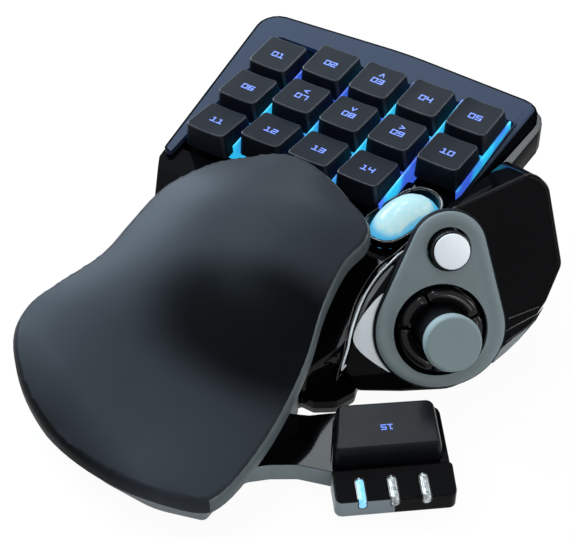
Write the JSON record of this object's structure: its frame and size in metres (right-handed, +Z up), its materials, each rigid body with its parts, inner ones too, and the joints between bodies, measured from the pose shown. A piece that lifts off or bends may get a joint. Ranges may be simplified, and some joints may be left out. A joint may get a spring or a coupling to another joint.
{
  "type": "gaming keypad",
  "caption": "Left-hand gaming keypad with a lit key bank, a scroll wheel, a tilting thumb stick, a thumb key and a sliding palm rest.",
  "frame": {"origin": "on the desk, under the middle of the keypad's outline", "axes": "+X to the user's right, +Y away from the user, +Z up; the key bank rises towards +Y"},
  "size_m": [0.1547, 0.1909, 0.0608],
  "materials": {
    "gloss_black": "high-gloss black",
    "bezel_grey": "fine matt blue-grey",
    "keycap_black": "satin black",
    "soft_touch": "soft-touch coating",
    "thumb_rubber": "matt grey rubber",
    "stick_rubber": "matt grey rubber",
    "silver_button": "silver lacquer",
    "wheel_tyre": "translucent, lit from within",
    "blue_light": "lit light pipe",
    "clear_lens": "clear light pipe",
    "well_glow": "lit diffuser film",
    "board_green": "circuit board",
    "dome_silicone": "moulded silicone",
    "inner_black": "moulded black",
    "steel": "plain steel",
    "rubber_black": "matt black rubber"
  },
  "bodies": {
    "base": {"rubber_foot_1": "rubber_black", "rubber_foot_2": "rubber_black", "rubber_foot_3": "rubber_black", "rubber_foot_4": "rubber_black", "case_screw_1": "steel", "case_screw_2": "steel", "case_screw_3": "steel", "case_screw_4": "steel", "case_screw_5": "steel", "case_screw_6": "steel", "bottom_cover": "inner_black", "cable_gland": "rubber_black", "body_shell": "gloss_black", "key_bezel": "bezel_grey", "light_diffuser": "well_glow", "key_guide_plate": "inner_black", "dome_sheet": "dome_silicone", "key_circuit_board": "board_green", "wheel_surround": "gloss_black", "wheel_click_switch": "inner_black", "thumb_housing": "gloss_black", "thumb_plate": "thumb_rubber", "thumb_circuit_board": "board_green", "stick_bracket": "inner_black", "thumb_button_switch": "inner_black", "status_light_cover": "gloss_black", "status_lens_1": "blue_light", "status_lens_2": "clear_lens", "status_lens_3": "clear_lens", "status_light_board": "board_green", "thumb_key_arm": "gloss_black", "space_key_switch": "inner_black", "palm_base": "gloss_black", "slide_rail_left": "steel", "slide_rail_right": "steel"},
    "key_01": {"key_01": "keycap_black"},
    "key_02": {"key_02": "keycap_black"},
    "key_03": {"key_03": "keycap_black"},
    "key_04": {"key_04": "keycap_black"},
    "key_05": {"key_05": "keycap_black"},
    "key_06": {"key_06": "keycap_black"},
    "key_07": {"key_07": "keycap_black"},
    "key_08": {"key_08": "keycap_black"},
    "key_09": {"key_09": "keycap_black"},
    "key_10": {"key_10": "keycap_black"},
    "key_11": {"key_11": "keycap_black"},
    "key_12": {"key_12": "keycap_black"},
    "key_13": {"key_13": "keycap_black"},
    "key_14": {"key_14": "keycap_black"},
    "space_key": {"space_key": "keycap_black"},
    "thumb_button": {"thumb_button": "gloss_black", "thumb_button_disc": "silver_button"},
    "stick_gimbal": {"stick_gimbal": "steel"},
    "thumb_stick": {"dpad_ring": "gloss_black", "thumb_stick": "stick_rubber"},
    "wheel_cradle": {"wheel_cradle": "inner_black"},
    "scroll_wheel": {"scroll_wheel": "wheel_tyre", "wheel_axle": "steel"},
    "palm_rest": {"palm_pad": "soft_touch", "palm_carrier": "inner_black"}
  },
  "joints": [
    {"name": "key_01_press", "type": "slide", "parent": "base", "child": "key_01", "axis": [0, 0.1478, -0.989], "range_m": [0, 0.0035], "stiffness_N_per_m": 150, "springref_m": -0.002},
    {"name": "key_02_press", "type": "slide", "parent": "base", "child": "key_02", "axis": [0, 0.1478, -0.989], "range_m": [0, 0.0035], "stiffness_N_per_m": 150, "springref_m": -0.002},
    {"name": "key_03_press", "type": "slide", "parent": "base", "child": "key_03", "axis": [0, 0.1478, -0.989], "range_m": [0, 0.0035], "stiffness_N_per_m": 150, "springref_m": -0.002},
    {"name": "key_04_press", "type": "slide", "parent": "base", "child": "key_04", "axis": [0, 0.1478, -0.989], "range_m": [0, 0.0035], "stiffness_N_per_m": 150, "springref_m": -0.002},
    {"name": "key_05_press", "type": "slide", "parent": "base", "child": "key_05", "axis": [0, 0.1478, -0.989], "range_m": [0, 0.0035], "stiffness_N_per_m": 150, "springref_m": -0.002},
    {"name": "key_06_press", "type": "slide", "parent": "base", "child": "key_06", "axis": [0, 0.1478, -0.989], "range_m": [0, 0.0035], "stiffness_N_per_m": 150, "springref_m": -0.002},
    {"name": "key_07_press", "type": "slide", "parent": "base", "child": "key_07", "axis": [0, 0.1478, -0.989], "range_m": [0, 0.0035], "stiffness_N_per_m": 150, "springref_m": -0.002},
    {"name": "key_08_press", "type": "slide", "parent": "base", "child": "key_08", "axis": [0, 0.1478, -0.989], "range_m": [0, 0.0035], "stiffness_N_per_m": 150, "springref_m": -0.002},
    {"name": "key_09_press", "type": "slide", "parent": "base", "child": "key_09", "axis": [0, 0.1478, -0.989], "range_m": [0, 0.0035], "stiffness_N_per_m": 150, "springref_m": -0.002},
    {"name": "key_10_press", "type": "slide", "parent": "base", "child": "key_10", "axis": [0, 0.1478, -0.989], "range_m": [0, 0.0035], "stiffness_N_per_m": 150, "springref_m": -0.002},
    {"name": "key_11_press", "type": "slide", "parent": "base", "child": "key_11", "axis": [0, 0.1478, -0.989], "range_m": [0, 0.0035], "stiffness_N_per_m": 150, "springref_m": -0.002},
    {"name": "key_12_press", "type": "slide", "parent": "base", "child": "key_12", "axis": [0, 0.1478, -0.989], "range_m": [0, 0.0035], "stiffness_N_per_m": 150, "springref_m": -0.002},
    {"name": "key_13_press", "type": "slide", "parent": "base", "child": "key_13", "axis": [0, 0.1478, -0.989], "range_m": [0, 0.0035], "stiffness_N_per_m": 150, "springref_m": -0.002},
    {"name": "key_14_press", "type": "slide", "parent": "base", "child": "key_14", "axis": [0, 0.1478, -0.989], "range_m": [0, 0.0035], "stiffness_N_per_m": 150, "springref_m": -0.002},
    {"name": "space_key_press", "type": "slide", "parent": "base", "child": "space_key", "axis": [0, 0, -1], "range_m": [0, 0.002], "stiffness_N_per_m": 250, "springref_m": -0.002},
    {"name": "thumb_button_press", "type": "slide", "parent": "base", "child": "thumb_button", "axis": [-0.5795, 0.6436, -0.5], "range_m": [0, 0.0012], "stiffness_N_per_m": 400, "springref_m": -0.001},
    {"name": "stick_tilt_up_down", "type": "hinge", "parent": "base", "child": "stick_gimbal", "pos_m": [0.04219, 0.00869, 0.0181], "axis": [0.7431, 0.6691, 0], "range_deg": [-6, 6], "stiffness_Nm_per_rad": 0.4},
    {"name": "stick_tilt_left_right", "type": "hinge", "parent": "stick_gimbal", "child": "thumb_stick", "pos_m": [0.04219, 0.00869, 0.0181], "axis": [-0.3346, 0.3716, 0.866], "range_deg": [-6, 6], "stiffness_Nm_per_rad": 0.4},
    {"name": "wheel_click", "type": "slide", "parent": "base", "child": "wheel_cradle", "axis": [0, 0.1478, -0.989], "range_m": [0, 0.0006], "stiffness_N_per_m": 600, "springref_m": -0.001},
    {"name": "wheel_spin", "type": "hinge", "parent": "wheel_cradle", "child": "scroll_wheel", "pos_m": [0.0186, 0.02858, 0.03075], "axis": [0.9397, -0.3383, -0.0506], "continuous": true},
    {"name": "palm_rest_slide", "type": "slide", "parent": "base", "child": "palm_rest", "axis": [0, -0.9603, -0.279], "range_m": [0, 0.012]}
  ]
}
